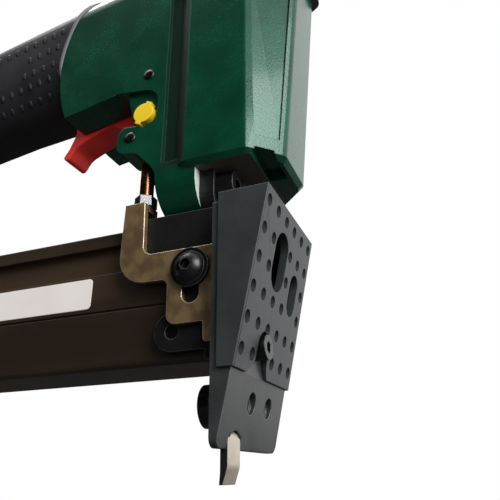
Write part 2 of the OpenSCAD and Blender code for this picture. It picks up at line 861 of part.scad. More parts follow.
// Yellow mode selector with two pointers, in the recess of the right cheek
module mode_selector() {
    color([0.98, 0.84, 0.12]) {
        rod_y(selector_at, m5, recess_y - 1, -slot_hw - slide_gap);
        along_y(selector_out, recess_y - slide_gap)
            translate(selector_at) {
                circle(d = selector_d);
                for (turn = [pointer_turn, pointer_turn + 180])
                    rotate(turn)
                        translate([selector_d / 2 - pointer_sink, -pointer_w / 2])
                            square([pointer_sink + pointer_out, pointer_w]);
            }
    }
}

module foot_face(top) {
    polygon(rounded([
        [low_foot_y[0], foot_z0, 2],
        [low_foot_y[1], foot_z0, 2],
        [low_foot_y[1], top, 0],
        [low_foot_y[0], top, 0]]));
}

// Black nose body: front wall with the drive channel, arms round the magazine and the upper flange
module nose_body() {
    color(black)
        difference() {
            union() {
                along_x(body_back, plate_back)
                    translate([-nose_body_hw, mag_z0]) square([2 * nose_body_hw, flange_z0 - mag_z0]);
                along_x(body_back, plate_back) foot_face(mag_z0 + eps);
                along_x(body_back - foot_pad, plate_back) foot_face(mag_z0 - seat_gap);
                along_x(body_back, neck_front)
                    translate([-neck_hw, plate_z1 + 2.6]) square([2 * neck_hw, house_z0 - plate_z1 - 2.6]);
                along_x(flange_back, flange_front)
                    polygon(rounded([
                        [-flange_hw, flange_z0, 6],
                        [flange_hw, flange_z0, 6],
                        [flange_hw, house_z0, 0],
                        [-flange_hw, house_z0, 0]]));
                for (side = [-1, 1]) mirror([0, side < 0 ? 1 : 0, 0])
                    along_y(mag_hw + seat_gap, nose_body_hw) {
                        polygon(rounded([
                            [body_back, flange_z0, 0],
                            [arm_back, flange_z0, 2],
                            [arm_back, arm_z[1], 2],
                            [arm_screw_at.x, arm_z[1], 3],
                            [arm_screw_at.x, arm_z[0], 0],
                            [body_back, arm_z[0], 0]]));
                        translate(arm_screw_at) circle(arm_boss_r);
                    }
            }
            // Drive channel and the opening that the brads come through
            translate([-plate_back, -blade_w / 2 - slide_gap / 2, -1])
                cube([2 * plate_back, blade_w + slide_gap, house_z0 + 2]);
            translate([body_back - 1, -brad_slot / 2, mag_z0 + 1.6])
                cube([nose_wall, brad_slot, stroke - mag_z0 - 2.6]);
            // Guide of the contact tip's strip
            translate([strip_back - slide_gap, -far, -1])
                cube([far, far + tip_y + tip_w / 2 + slide_gap, strip_top + safety_travel + 1 + slide_gap]);
            // Screw holes
            for (y = low_screw_y) rod_x([y, low_screw_z], m4 + 2 * seat_gap, body_back - 2, plate_back + 1);
            for (p = plate_screw_at) rod_x(p, m4 + 2 * seat_gap, body_back - 1, plate_back + 1);
            for (side = [-1, 1])
                rod_x([side * flange_screw_at.x, flange_screw_at.y], m6 + 2 * seat_gap, flange_back - 1, 1);
            rod_z(spring_at, spring_hole_d, strip_top, spring_z1);
            rod_y(bracket_screw_at, m5 + 2 * seat_gap, -far, 0);
            rod_y(arm_screw_at, m4 + 2 * seat_gap, -far, far);
        }
}

// Leaning steel front plate with the notch for the contact tip
module nose_front_plate() {
    pocket_front = tongue_front + slide_gap;
    pocket_top = tongue_top + safety_travel + 0.5;
    color(grey)
        difference() {
            intersection() {
                along_y(-nose_w / 2, nose_w / 2)
                    polygon([
                        [plate_back, 0],
                        [plate_low_front, 0],
                        [plate_front, pad_z0],
                        [plate_front, plate_z1],
                        [plate_back, plate_z1]]);
                along_x(-1, far)
                    polygon(rounded([
                        [-nose_w / 2, 0, 2.5],
                        [nose_w / 2, 0, 2.5],
                        [nose_w / 2, plate_z1 + 1, 0],
                        [-nose_w / 2, plate_z1 + 1, 0]]));
            }
            for (y = low_screw_y) {
                rod_x([y, low_screw_z], m4 + 2 * seat_gap, 0, far);
                rod_x([y, low_screw_z], low_bore_d, pocket_front + 0.4, far);
            }
            for (p = plate_screw_at) rod_x(p, m4 + 2 * seat_gap, 0, far);
            along_x(-1, far)
                slot([tip_y, -tip_w], tip_w + 0.3, tip_w + 2 * slide_gap);
            translate([-1, tip_y - tip_w / 2 - slide_gap, -1])
                cube([pocket_front + 1, tip_w + 2 * slide_gap, pocket_top + 1]);
        }
}

function pad_face(z) = plate_front + pad_proud + tan(nose_lean) * (z - pad_z0);

// Soft moulded boot over the front plate, with openings to its screws
module glass_pad() {
    inner_z = pad_z0 + (pad_wall - pad_proud) / tan(nose_lean);
    color([0.25, 0.27, 0.28])
        difference() {
            along_y(-pad_hw, pad_hw)
                polygon([
                    [pad_back, pad_z0],
                    [pad_face(pad_z0), pad_z0],
                    [pad_face(pad_z1), pad_z1],
                    [pad_back, pad_z1]]);
            along_y(-nose_w / 2, nose_w / 2)
                polygon([
                    [pad_back - 1, pad_z0 - 1],
                    [plate_front, pad_z0 - 1],
                    [plate_front, inner_z],
                    [pad_face(plate_z1) - pad_wall, plate_z1],
                    [pad_back - 1, plate_z1]]);
            along_x(plate_front, far) {
                slot(plate_screw_at[0] - [0, 1], 6.6, pad_slot_w);
                slot(plate_screw_at[2] - [0, 2.8], 5.6, pad_oval_w);
                slot([plate_screw_at[1].x, pad_z0 - pad_low_w], plate_screw_at[1].y + pad_low_w - pad_z0,
                    pad_low_w);
                polygon(rounded([
                    [plate_screw_at[1].x - 10.4, pad_z0 - 1, 0],
                    [plate_screw_at[1].x - 3.2, pad_z0 + 5, 2],
                    [plate_screw_at[1].x + 3.2, pad_z0 + 5, 2],
                    [plate_screw_at[1].x + 6.8, pad_z0 - 1, 0]]));
            }
        }
}

module plate_screws() {
    color(black)
        for (p = plate_screw_at)
            translate([plate_front, p.x, p.y])
                rotate([0, 90, 0]) cap_screw(m4, plate_head_d, plate_head_h, plate_front - body_back - 0.6);
}

module nose_rear_screws() {
    color(black)
        for (y = low_screw_y)
            translate([body_back - foot_pad, y, low_screw_z])
                rotate([0, -90, 0])
                    flange_screw(m4, flange_head_d, plate_back - body_back + foot_pad + 1, rear_rim, rear_dome);
}

module nose_flange_screws() {
    color(black)
        for (side = [-1, 1])
            translate([flange_front, side * flange_screw_at.x, flange_screw_at.y])
                rotate([0, 90, 0]) cap_screw(m6, flange_cap_d, m6, flange_t + 8);
}

// Yellow-zinc safety bracket: a curved arm with a bent tab, and a slotted plate
module safety_bracket() {
    color(gold)
        difference() {
            union() {
                along_y(bracket_outer, bracket_y)
                    polygon(rounded([
                        [arm_x[0], arm_top, 1.5],
                        [arm_x[0] - 0.7, bracket_screw_at.y - 1.9, 9],
                        [plate_x[0] - 0.2, bracket_screw_at.y - 2.3, 2],
                        [plate_x[0], bracket_z[0], 3],
                        [plate_x[1] - 0.2, bracket_z[0], 0],
                        [plate_x[1], bracket_z[1], 0.8],
                        [strip_back + 0.6, bracket_z[1], 0.3],
                        [strip_back + 0.6, bracket_z[2], 0.3],
                        [strip_front, bracket_z[2], 0],
                        [strip_front, bracket_z[3], 0],
                        [arm_x[1] + 0.6, bracket_z[3], 3],
                        [arm_x[1], arm_top, 0.8]]));
                translate([arm_x[0], bracket_outer, arm_top - bracket_t])
                    cube([arm_x[1] - arm_x[0], tab_in - bracket_outer, bracket_t]);
            }
            along_y(-far, 0)
                slot(bracket_screw_at - [0, safety_travel + 0.5], safety_travel + 0.5, slot_w);
            rod_z(stud_at, stud_d + 2 * seat_gap, 0, 100);
        }
}

// Steel contact tip: a strip behind the front plate that ends in a bent tongue
module contact_tip() {
    color([0.75, 0.7, 0.63])
        along_y(tip_y - tip_w / 2, tip_y + tip_w / 2)
            polygon(rounded([
                [strip_front, strip_top, 0],
                [strip_back, strip_top, 0],
                [strip_back, tongue_top - 0.6, 3],
                [tongue_back, tongue_top - 5, 4],
                [tongue_back, -tip_drop + 2.6, 6],
                [tongue_back - 0.25, -tip_drop, 0.2],
                [tongue_back + 0.65, -tip_drop, 0.3],
                [tongue_front - 0.1, -tip_drop + 4, 5],
                [tongue_front, tongue_top - 4.4, 4],
                [strip_front, tongue_top, 3]]));
}

module bracket_screw() {
    color(black)
        translate([bracket_screw_at.x, bracket_outer - slide_gap / 2, bracket_screw_at.y])
            rotate([90, 0, 0])
                flange_screw(m5, flange_head_d, nose_body_hw - mag_hw + bracket_t + slide_gap);
}

module safety_stud() {
    color(gold) {
        rod_z(stud_at, stud_d, arm_top - bracket_t - 1, arm_top + nut_h + eps);
        rod_z(stud_at, collar_d, arm_top + nut_h, stud_top);
    }
}

module safety_nut() {
    color(steel)
        difference() {
            translate([stud_at.x, stud_at.y, arm_top]) rotate(30) cylinder(d = nut_d, h = nut_h, $fn = 6);
            rod_z(stud_at, stud_d + 2 * seat_gap, 0, 100);
        }
}

module safety_spring() {
    color([0.8, 0.6, 0.3])
        translate([spring_at.x, spring_at.y, 0])
            coil(spring_turns, (spring_d - spring_wire) / 2, strip_top, spring_z1, spring_wire);
}

module magazine_section() {
    difference() {
        polygon(rounded([
            [-mag_hw, mag_z0, mag_edge[0]],
            [mag_hw, mag_z0, mag_edge[0]],
            [mag_hw, mag_z1, mag_edge[1]],
            [-mag_hw, mag_z1, mag_edge[1]]]));
        for (side = [-1, 1]) {
            translate([side * mag_hw - mag_line, mag_z0 + mag_bands[0]])
                square([2 * mag_line, mag_bands[1] - mag_bands[0]]);
            translate([side * mag_hw - mag_groove, mag_z0 + mag_bands[2]])
                square([2 * mag_groove, mag_bands[3] - mag_bands[2]]);
        }
        translate([-brad_slot / 2, mag_z0 + 1.6]) square([brad_slot, track_z0 - mag_z0]);
        translate([-track_hw, track_z0]) square([2 * track_hw, track_h]);
    }
}

module magazine_body() {
    color(bronze)
        difference() {
            along_x(mag_back, body_back) magazine_section();
            // Slot of the pusher's thumb tab on the left side
            translate([mag_back + 20, 0, tab_slot_z])
                cube([mag_l - 34, far, tab_slot_h]);
            rod_y(arm_screw_at, m4 + 2 * seat_gap, -far, -mag_hw + 5);
            rod_y(arm_screw_at, m4 + 2 * seat_gap, mag_hw - 5, far);
            for (x = foot_screw_x) rod_z([x, 0], m4 + 2 * seat_gap, mag_z1 - 5, mag_z1 + 1);
            for (y = end_screw_y) rod_x([y, end_screw_z], m3 + 2 * seat_gap, mag_back - 1, mag_back + 8);
        }
}

module magazine_end_cap() {
    color(black)
        difference() {
            along_x(mag_back - end_plate_t, mag_back)
                translate([0, mag_z0 + mag_h / 2]) round_box(mag_w + 1, mag_h + 1, 3);
            for (y = end_screw_y) {
                rod_x([y, end_screw_z], m3 + 2 * seat_gap, mag_back - far, mag_back + 1);
                rod_x([y, end_screw_z], m3_head + 4 * seat_gap, mag_back - far, mag_back - 2);
            }
        }
}

// Screws of the magazine's two ends
module magazine_screws() {
    color(black) {
        for (side = [0, 1]) mirror([0, side, 0])
            rod_y(arm_screw_at, m4, mag_hw - 4.5, nose_body_hw - 0.8);
        for (y = end_screw_y)
            translate([mag_back - 2, y, end_screw_z])
                rotate([0, -90, 0]) cap_screw(m3, m3_head, 2.4, 9);
    }
}

// Brad pusher: a carriage in the track, a blade in the brad channel and a thumb tab
module brad_pusher() {
    color(steel)
        difference() {
            union() {
                along_x(pusher_front - pusher_l, pusher_front - 2)
                    translate([-track_hw + slide_gap, track_z0 + slide_gap])
                        square([2 * (track_hw - slide_gap), track_h - 2 * slide_gap]);
                along_x(pusher_front - pusher_l, pusher_front)
                    translate([-brad_slot / 2 + slide_gap, mag_z0 + 1.6 + slide_gap])
                        square([brad_slot - 2 * slide_gap, track_z0 - mag_z0 - 1]);
                along_x(pusher_front - pusher_l, pusher_front - pusher_l + tab_l)
                    translate([0, tab_slot_z + slide_gap])
                        square([mag_hw + tab_out, tab_slot_h - 2 * slide_gap]);
            }
            rod_y(roll_at, roll_d + 2 * seat_gap, -far, track_hw - roll_wall);
        }
}

// Rolled band spring carried by the pusher
module pusher_spring() {
    color(steel)
        difference() {
            rod_y(roll_at, roll_d, -track_hw + slide_gap, track_hw - roll_wall - seat_gap);
            rod_y(roll_at, roll_core, -far, far);
        }
}

// Cast leg that ties the handle's rear end to the magazine
module rear_bracket() {
    color(black)
        difference() {
            along_y(-leg_hw, leg_hw)
                polygon(rounded([
                    [rear_x - foot_l / 2, mag_z1, 0],
                    [rear_x + foot_l / 2, mag_z1, 0],
                    [rear_x + foot_l / 2, mag_z1 + foot_t, 1.5],
                    [rear_x + leg_t / 2, mag_z1 + foot_t, 4],
                    [leg_top_x + leg_t / 2, leg_top_z, 0],
                    [leg_top_x - leg_t / 2, leg_top_z, 0],
                    [rear_x - leg_t / 2, mag_z1 + foot_t, 4],
                    [rear_x - foot_l / 2, mag_z1 + foot_t, 1.5]]));
            in_handle()
                translate([-250, -far, -leg_drop]) cube([300, 2 * far, 200]);
            for (x = foot_screw_x) {
                rod_z([x, 0], m4 + 2 * seat_gap, mag_z1 - 1, mag_z1 + foot_t + 1);
                rod_z([x, 0], m4_head + 4 * seat_gap, mag_z1 + foot_t, mag_z1 + foot_t + 9);
            }
        }
}

module rear_bracket_screws() {
    color(steel)
        for (x = foot_screw_x)
            translate([x, 0, mag_z1 + foot_t]) cap_screw(m4, m4_head, m4, foot_t + 4.5);
}

safety_spring_r = (spring_d - spring_wire) / 2;
echo(safety_spring_gap = coil_gap(spring_turns, safety_spring_r, strip_top, spring_z1, spring_wire));
echo(valve_spring_gap =
    coil_gap(valve_turns, valve_spring_r, valve_spring_z[0], valve_spring_z[1], valve_wire));

main_housing();
handle_grip();
handle_end_cap();
end_cap_screws();
air_inlet_bush();
cylinder_cap();
cap_gasket();
cap_screws();
exhaust_deflector();
deflector_screw();
cylinder_sleeve();
piston_bumper();
piston();
piston_ring();
driver_blade();
trigger();
trigger_pin();
valve_pin();
trigger_valve_body();
valve_stem();
valve_spring();
mode_selector();
nose_body();
nose_front_plate();
glass_pad();
plate_screws();
nose_rear_screws();
nose_flange_screws();
safety_bracket();
contact_tip();
bracket_screw();
safety_stud();
safety_nut();
safety_spring();
magazine_body();
magazine_end_cap();
magazine_screws();
brad_pusher();
pusher_spring();
rear_bracket();
rear_bracket_screws();
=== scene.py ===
import json
import math

import bmesh
import bpy
from mathutils import Matrix, Quaternion, Vector
from mathutils.bvhtree import BVHTree

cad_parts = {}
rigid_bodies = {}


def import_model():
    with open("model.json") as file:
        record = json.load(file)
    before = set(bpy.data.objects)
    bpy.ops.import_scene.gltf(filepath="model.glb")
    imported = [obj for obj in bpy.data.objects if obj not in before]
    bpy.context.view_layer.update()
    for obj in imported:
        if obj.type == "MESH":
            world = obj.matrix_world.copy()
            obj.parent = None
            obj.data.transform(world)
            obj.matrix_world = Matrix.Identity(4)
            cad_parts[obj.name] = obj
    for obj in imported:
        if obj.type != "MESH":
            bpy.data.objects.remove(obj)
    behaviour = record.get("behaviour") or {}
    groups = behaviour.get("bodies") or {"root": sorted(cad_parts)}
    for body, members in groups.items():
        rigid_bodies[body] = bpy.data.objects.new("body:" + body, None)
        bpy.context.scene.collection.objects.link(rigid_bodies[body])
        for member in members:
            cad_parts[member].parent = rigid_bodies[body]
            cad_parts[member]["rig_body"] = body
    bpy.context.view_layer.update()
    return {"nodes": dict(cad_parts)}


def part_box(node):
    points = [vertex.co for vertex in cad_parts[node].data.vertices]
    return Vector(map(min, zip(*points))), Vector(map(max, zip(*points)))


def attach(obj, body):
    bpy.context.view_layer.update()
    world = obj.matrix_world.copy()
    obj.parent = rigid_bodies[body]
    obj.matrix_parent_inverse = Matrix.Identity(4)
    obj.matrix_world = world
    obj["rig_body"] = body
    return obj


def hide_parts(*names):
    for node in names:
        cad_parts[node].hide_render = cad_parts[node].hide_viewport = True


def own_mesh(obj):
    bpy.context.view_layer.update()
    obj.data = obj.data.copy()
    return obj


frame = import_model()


# Studio: the tool hangs over a round white table, seen from below its nose. One large soft box stands at
# the upper front right, with weaker ones above and in front. Black cards on three sides and a dark cloth
# over the table, none of which the camera sees, keep the reflections in paint and steel deep.
class Signal:
    """One socket of a node tree. Arithmetic on it adds Math nodes, and node() adds any other node."""

    def __init__(self, tree, socket=None):
        self.tree = tree
        self.socket = socket

    def node(self, kind, settings, sockets, out=0):
        made = self.tree.nodes.new(kind)
        for name, value in settings.items():
            setattr(made, name, value)
        for name, value in sockets.items():
            if isinstance(value, Signal):
                self.tree.links.new(value.socket, made.inputs[name])
            else:
                made.inputs[name].default_value = value
        return Signal(self.tree, made.outputs[out])

    def math(self, operation, first, second):
        return self.node("ShaderNodeMath", {"operation": operation}, {0: first, 1: second})

    def __add__(self, other):
        return self.math("ADD", self, other)

    def __radd__(self, other):
        return self.math("ADD", other, self)

    def __sub__(self, other):
        return self.math("SUBTRACT", self, other)

    def __rsub__(self, other):
        return self.math("SUBTRACT", other, self)

    def __mul__(self, other):
        return self.math("MULTIPLY", self, other)

    def __rmul__(self, other):
        return self.math("MULTIPLY", other, self)

    def __abs__(self):
        return self.node("ShaderNodeMath", {"operation": "ABSOLUTE"}, {0: self})

    def clipped(self, low, high):
        """0 at low, 1 at high, and a smooth rise between them."""
        return self.node("ShaderNodeMapRange", {"interpolation_type": "SMOOTHSTEP"},
                         {"Value": self, "From Min": low, "From Max": high})

    def between(self, first, second):
        """The colour first where this is 0, and second where it is 1."""
        return self.node("ShaderNodeMix", {"data_type": "RGBA"}, {0: self, 6: first, 7: second}, out=2)

    def axes(self):
        """A vector's three parts."""
        split = self.node("ShaderNodeSeparateXYZ", {}, {0: self}).socket.node
        return [Signal(self.tree, part) for part in split.outputs]

    def to(self, node, socket):
        self.tree.links.new(self.socket, node.inputs[socket])


scene = bpy.context.scene
scene.view_settings.view_transform = "Standard"


def piece_of(name, data):
    """An object made of this data, set out in the scene."""
    piece = bpy.data.objects.new(name, data)
    scene.collection.objects.link(piece)
    return piece


eye = Vector((0.0575, -0.142, -0.0063))
ahead = Vector((-0.32638, 0.85967, 0.39298))
to_right = Vector((0.93320, 0.35921, -0.010753))
upward = Vector((0.15040, -0.36321, 0.91948))
camera = piece_of("camera", bpy.data.cameras.new("camera"))
camera.data.sensor_width = 36
camera.data.lens = 38.205
camera.data.clip_start = 0.01
camera.matrix_world = Matrix.Translation(eye) @ Matrix((to_right, upward, -ahead)).transposed().to_4x4()
scene.camera = camera


def soft_box(name, place, target, width, height, watts, tilt=0.0):
    """A lamp behind a stretched white cloth, aimed at target and turned about its aim by tilt degrees."""
    lamp = bpy.data.lights.new(name, "AREA")
    lamp.shape = "RECTANGLE"
    lamp.size = width
    lamp.size_y = height
    lamp.energy = watts
    stand = piece_of(name, lamp)
    stand.location = place
    aim = (Vector(target) - Vector(place)).to_track_quat("-Z", "Y")
    stand.rotation_euler = (aim @ Quaternion((0, 0, 1), math.radians(tilt))).to_euler()


soft_box("key_box", place=(0.714, -0.520, 0.432), target=(0.111, -0.082, -0.07),
         width=0.56, height=0.60, watts=9.0, tilt=10.0)
soft_box("top_box", place=(-0.35, 0.10, 0.90), target=(-0.08, 0.0, 0.10), width=0.40, height=0.40, watts=3.0)
soft_box("front_box", place=(0.90, 0.05, 0.02), target=(0.0, 0.0, 0.06), width=0.40, height=0.60, watts=3.0)

white = (1, 1, 1, 1)
air_grey = (0.50, 0.50, 0.51, 1)
world = bpy.data.worlds.new("studio_air")
scene.world = world
world.use_nodes = True
air = Signal(world.node_tree)
seen = air.node("ShaderNodeLightPath", {}, {}, out="Is Camera Ray")
for kind in ("Is Glossy Ray", "Is Transmission Ray"):
    seen = seen + air.node("ShaderNodeLightPath", {}, {}, out=kind)
seen.between(air_grey, white).to(world.node_tree.nodes["Background"], "Color")


def flat_piece(name, corners):
    mesh = bpy.data.meshes.new(name)
    mesh.from_pydata(corners, [], [list(range(len(corners)))])
    return piece_of(name, mesh)


def matte(name, grey):
    """A finish of one grey, without gloss."""
    material = bpy.data.materials.new(name)
    material.use_nodes = True
    surface = material.node_tree.nodes["Principled BSDF"]
    surface.inputs["Base Color"].default_value = (grey, grey, grey, 1)
    surface.inputs["Roughness"].default_value = 0.9
    surface.inputs["Specular IOR Level"].default_value = 0.0
    return material


def give_way(material, share, other):
    """Lets another shader show in place of the material's own, by share."""
    nodes = material.node_tree.nodes
    own = Signal(material.node_tree, nodes["Principled BSDF"].outputs[0])
    blend = own.node("ShaderNodeMixShader", {}, {0: share, 1: own, 2: other})
    blend.to(nodes["Material Output"], "Surface")


table_r = 0.75
table_x = -0.09
table_z = -0.06
table_sides = 96
shadow_r = 0.2
white_r = table_r - 0.05
angles = [math.tau * k / table_sides for k in range(table_sides)]
rim = [(table_r * math.cos(a) + table_x, table_r * math.sin(a), table_z) for a in angles]
table = flat_piece("table", rim)
table_white = matte("table_white", 0.86)
start = Signal(table_white.node_tree)
place = start.node("ShaderNodeTexCoord", {}, {}, out="Object")
away = start.node("ShaderNodeVectorMath", {"operation": "DISTANCE"}, {0: place, 1: (table_x, 0, table_z)},
                  out="Value")
seen = start.node("ShaderNodeLightPath", {}, {}, out="Is Camera Ray")
glow = start.node("ShaderNodeEmission", {}, {"Color": white, "Strength": 1.0})
give_way(table_white, away.clipped(shadow_r, white_r) * seen, glow)
table.data.materials.append(table_white)

card_low = -0.05
card_high = 1.15
card_left = -1.25
card_near = -0.55
card_far = 0.60
near_end = 0.22
far_end = 0.02
card_black = matte("black_card", 0.01)
cards = {"near_card": ((card_left, card_near), (near_end, card_near)),
         "far_card": ((card_left, card_far), (far_end, card_far)),
         "left_card": ((card_left, card_near), (card_left, card_far))}
for name, (first, last) in cards.items():
    card = flat_piece(name, [(*first, card_low), (*last, card_low), (*last, card_high), (*first, card_high)])
    card.visible_camera = False
    card.visible_diffuse = False
    card.visible_shadow = False
    card.data.materials.append(card_black)

flag_x = (-0.9, 0.7)
flag_y = (-0.6, 0.8)
flag_z = -0.05
flag_corners = ((0, 0), (1, 0), (1, 1), (0, 1))
flag = flat_piece("floor_flag", [(flag_x[right], flag_y[back], flag_z) for right, back in flag_corners])
flag.visible_camera = False
flag.visible_shadow = False
dark_cloth = matte("floor_flag", 0.07)
start = Signal(dark_cloth.node_tree)
from_below = start.node("ShaderNodeNewGeometry", {}, {}, out="Backfacing")
give_way(dark_cloth, from_below, start.node("ShaderNodeBsdfTransparent", {}, {}))
flag.data.materials.append(dark_cloth)


# Main housing: one aluminium pressure casting with barrel, trigger cheeks and the core of the handle.
# It is shot-blasted, painted dark green, and machined on its lower face and on the lug.
def rgb(code):
    """A colour as screen hex digits, in the light units that the shaders use."""
    parts = [int(code[k:k + 2], 16) / 255 for k in (0, 2, 4)]
    return tuple(c / 12.92 if c < 0.04045 else ((c + 0.055) / 1.055) ** 2.4 for c in parts) + (1.0,)


def finish(name, light, dark, patch, rough, metal=0.0, grain=1500.0, depth=0.00005, gloss=0.5,
           sheen="FFFFFF", coat=0.0, stretch=(1, 1, 1), soft=0.0004, edge_wear_and_glint=None, edge_strength=0.6, tone_masks=None):
    """A surface whose colour drifts between two tones in patches, with a fine grain in roughness and height.
    Its sharp edges look rounded by soft metres. An edge tone, where given, shows on those edges: rubbed
    edges on some finishes and a painted highlight on others.
    Masks, where given, mark what differs, each with its tone and added roughness; on the housing they
    include painted shade and painted reflection."""
    material = bpy.data.materials.new(name)
    material.use_nodes = True
    surface = material.node_tree.nodes["Principled BSDF"]
    surface.inputs["Metallic"].default_value = metal
    surface.inputs["Specular IOR Level"].default_value = gloss
    surface.inputs["Specular Tint"].default_value = rgb(sheen)
    surface.inputs["Coat Weight"].default_value = coat
    surface.inputs["Coat Roughness"].default_value = 0.10
    start = Signal(material.node_tree)
    spot = start.node("ShaderNodeTexCoord", {}, {}, out="Object")
    place = start.node("ShaderNodeMapping", {}, {"Vector": spot, "Scale": stretch})
    clouds = start.node("ShaderNodeTexNoise", {}, {"Vector": place, "Scale": patch, "Detail": 4.0})
    fine = start.node("ShaderNodeTexNoise", {}, {"Vector": place, "Scale": grain, "Detail": 2.0})
    facing = start.node("ShaderNodeNewGeometry", {}, {}, out="Normal")
    rounded = start.node("ShaderNodeBevel", {"samples": 8}, {"Radius": soft})
    patch_rims = (0.35, 0.65)
    fine_swing = 0.16
    cloud_swing = 0.10
    tone = clouds.clipped(*patch_rims).between(rgb(dark), rgb(light))
    roughness = fine * fine_swing + clouds * cloud_swing + (rough - (fine_swing + cloud_swing) / 2)
    # Edge tone: rubbed edges on some finishes, a painted highlight on others.
    if edge_wear_and_glint:
        flat = start.node("ShaderNodeVectorMath", {"operation": "DOT_PRODUCT"}, {0: rounded, 1: facing},
                          out="Value")
        edge_turn = (0.01, 0.20)
        edge_patch_rims = (0.30, 0.65)
        edge_patch_share = 0.6
        on_edge = (1 - flat).clipped(*edge_turn)
        broken_up = (clouds * edge_patch_share + fine * edge_patch_share).clipped(*edge_patch_rims)
        tone = (on_edge * broken_up * edge_strength).between(tone, rgb(edge_wear_and_glint))
    # Masked tones, some of them painted shade and painted reflection.
    if tone_masks:
        shine = coat
        for mask, mask_tone, dull in tone_masks(spot, facing):
            tone = mask.between(tone, rgb(mask_tone))
            roughness = roughness + mask * dull
            shine = (1 - mask) * shine
        if coat:
            shine.to(surface, "Coat Weight")
    tone.to(surface, "Base Color")
    roughness.to(surface, "Roughness")
    height = start.node("ShaderNodeBump", {},
                        {"Height": fine, "Strength": 1.0, "Distance": depth, "Normal": rounded})
    height.to(surface, "Normal")
    return material


def paint(material, *nodes):
    """A new finish on CAD nodes whose shape stays as it is."""
    for node in nodes:
        for slot in frame["nodes"][node].material_slots:
            slot.material = material


underside_z = 0.0815
lug_face_x = -0.0075
milled_front_x = 0.0112
groove_x = (-0.0202, -0.0100)
groove_y = (0.0150, 0.0199)
edge = 0.0003
square_on = (0.85, 0.97)
milled_tone = "5A524A"
# The lug face's near-white tone: cut metal, lightened as painted reflection.
lug_bare_and_glint_tone = "D5D8D3"
# Painted shade: the dark tone and dullness in the grooves beside the barrel.
groove_shade_tone = "0A2117"
cutter_marks = 0.05
groove_dull = 0.35


def level_with(value, place):
    """1 where a coordinate lies at place, within an edge's width, and 0 elsewhere."""
    past = value.clipped(place + edge, place + 2 * edge)
    return value.clipped(place - 2 * edge, place - edge) * (1 - past)


def machined_and_groove_shade(spot, facing):
    """The barrel's lower face and the lug's front face, which a cutter has left unpainted, and the grooves
    beside the barrel.
    The lug face's near-white tone is partly painted reflection; the grooves' dark tone and added roughness
    are painted shade."""
    x, y, z = spot.axes()
    aim = facing.axes()
    below = (0 - aim[2]).clipped(*square_on) * level_with(z, underside_z)
    below = below * (1 - x.clipped(milled_front_x, milled_front_x + edge))
    # The lug face: cut metal whose near-white tone paints the light it reflects.
    front = aim[0].clipped(*square_on) * level_with(x, lug_face_x)
    front = front * (1 - z.clipped(underside_z - edge, underside_z))
    # Painted shade in the grooves beside the barrel.
    sunk = x.clipped(groove_x[0], groove_x[0] + 3 * edge)
    sunk = sunk * (1 - x.clipped(groove_x[1] - 4 * edge, groove_x[1]))
    out = abs(y)
    sunk = sunk * out.clipped(groove_y[0], groove_y[0] + edge)
    sunk = sunk * (1 - out.clipped(groove_y[1] - edge, groove_y[1]))
    sunk = sunk * z.clipped(underside_z, underside_z + 12 * edge)
    return (below, milled_tone, cutter_marks), (front, lug_bare_and_glint_tone, cutter_marks), (sunk, groove_shade_tone, groove_dull)


# The paler green on the edges is partly rubbed paint and partly painted highlight; the lug face's near-white
# tone is partly painted reflection, and the grooves' dark tone is painted shade.
green_paint = finish("green_paint", "074530", "053826", patch=60.0, rough=0.25, grain=1600.0, depth=0.00006,
                     gloss=0.48, sheen="A6E2CF", coat=0.35, edge_wear_and_glint="1F6148", edge_strength=0.15, tone_masks=machined_and_groove_shade)
paint(green_paint, "main_housing")


# Cylinder set inside the barrel: turned sleeve, rubber bumper, piston with its ring, and the driver blade.
# They are slid in from above before the cap goes on, so only poses show them.
turned_alloy = finish("turned_alloy", "B4B6BA", "9C9EA3", patch=90.0, rough=0.38, metal=1.0, grain=2500.0,
                      depth=0.00002, stretch=(1, 1, 12))
bright_steel = finish("bright_steel", "C9CACC", "A9ABAF", patch=120.0, rough=0.30, metal=1.0, grain=2200.0,
                      depth=0.00001, edge_wear_and_glint="E4E5E6")
seal_rubber = finish("seal_rubber", "1A1A1C", "101012", patch=80.0, rough=0.62, grain=1800.0, gloss=0.3)
paint(turned_alloy, "cylinder_sleeve", "piston")
paint(seal_rubber, "piston_bumper", "piston_ring", "cap_gasket")
paint(bright_steel, "driver_blade")


# Cylinder cap: a grey die casting over the barrel, held by four socket screws sunk in their bores.
# A swivelling moulded exhaust cover sits on top under one flanged screw.
grey_casting = finish("grey_casting", "4A4C4F", "3B3D40", patch=70.0, rough=0.50, grain=1300.0,
                      depth=0.00006, edge_wear_and_glint="8A8C8F")
moulded_black = finish("moulded_black", "161618", "0F0F11", patch=90.0, rough=0.46, grain=1700.0,
                       depth=0.00004, gloss=0.35)
# Its pale edge tone is a painted highlight on the screw heads' rims.
blackened = finish("blackened_screws", "141416", "0B0B0C", patch=150.0, rough=0.30, grain=2200.0,
                   depth=0.00001, edge_wear_and_glint="74767A")
paint(grey_casting, "cylinder_cap")
paint(blackened, "cap_screws", "deflector_screw")
paint(moulded_black, "exhaust_deflector")


